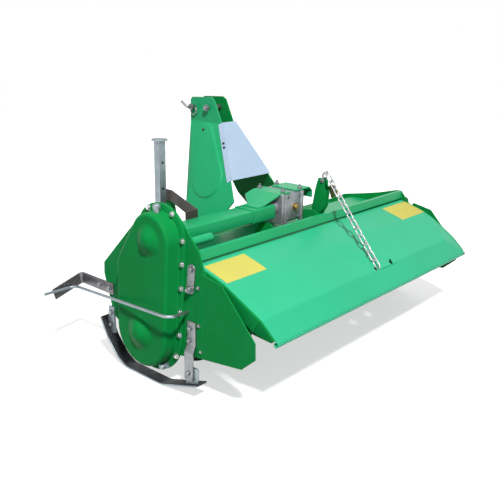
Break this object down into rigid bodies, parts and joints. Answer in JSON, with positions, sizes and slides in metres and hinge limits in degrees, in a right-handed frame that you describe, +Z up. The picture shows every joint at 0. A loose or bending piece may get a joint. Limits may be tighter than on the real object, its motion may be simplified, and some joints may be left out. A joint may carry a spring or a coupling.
{
  "type": "rotary tiller",
  "caption": "Mounted rotary tiller with a side chain drive, a bent-tine rotor under a hood, a hinged rear apron on a lift chain, side skids and a three-point mast",
  "frame": {"origin": "on the ground under the middle of the machine's box", "axes": "+Z up, +Y forward to the tractor, +X to the right seen from behind"},
  "size_m": [1.781, 1.104, 1.046],
  "materials": {
    "green_paint": "gloss green paint",
    "zinc": "zinc plated",
    "galvanised": "galvanised sheet",
    "cast_aluminium": "as cast",
    "brass": "plain",
    "dark_paint": "dark satin paint",
    "bare_steel": "machined"
  },
  "bodies": {
    "frame": {"side_plate_left": "green_paint", "side_plate_right": "green_paint", "shaft_housing": "green_paint", "hood": "green_paint", "hinge_rail": "green_paint", "hinge_rod": "zinc", "front_tube": "green_paint", "chain_case": "green_paint", "case_plugs": "zinc", "gearbox": "cast_aluminium", "gearbox_cover": "cast_aluminium", "gearbox_plug": "brass", "bracket_left": "green_paint", "bracket_right": "green_paint", "hood_gussets": "green_paint", "chain_post": "green_paint", "mast_cheek_left": "green_paint", "mast_cheek_right": "green_paint", "pto_shield": "galvanised", "top_link_pin": "zinc", "mast_bolt": "zinc", "hitch_plate_left": "green_paint", "hitch_plate_right": "green_paint", "hitch_brace": "zinc", "hitch_pins": "zinc", "stand_socket": "green_paint", "skid_left": "zinc", "skid_right": "zinc", "skid_strap_left": "zinc", "skid_strap_right": "zinc", "deflector_left": "green_paint", "deflector_right": "green_paint", "link_plates": "zinc", "side_guard": "zinc", "rotor_bearing": "green_paint", "stub_tube": "green_paint", "lift_chain": "zinc"},
    "rotor": {"rotor": "dark_paint"},
    "drive_input": {"pto_shaft": "bare_steel"},
    "apron": {"apron": "green_paint"},
    "stand": {"stand_leg": "zinc"}
  },
  "joints": [
    {"name": "rotor_spin", "type": "hinge", "parent": "frame", "child": "rotor", "pos_m": [0.0805, 0.046, 0.207], "axis": [-1, 0, 0], "continuous": true},
    {"name": "input_spin", "type": "hinge", "parent": "frame", "child": "drive_input", "pos_m": [0.0505, 0.146, 0.6], "axis": [0, 1, 0], "continuous": true},
    {"name": "apron_hinge", "type": "hinge", "parent": "frame", "child": "apron", "pos_m": [0.0805, -0.175, 0.508], "axis": [-1, 0, 0], "range_deg": [0, 50], "deforming": ["lift_chain"]},
    {"name": "stand_slide", "type": "slide", "parent": "frame", "child": "stand", "axis": [0, 0, 1], "range_m": [0, 0.15]}
  ],
  "couplings": [
    {"joint": "input_spin", "follows": "rotor_spin", "ratio": 2.5}
  ]
}
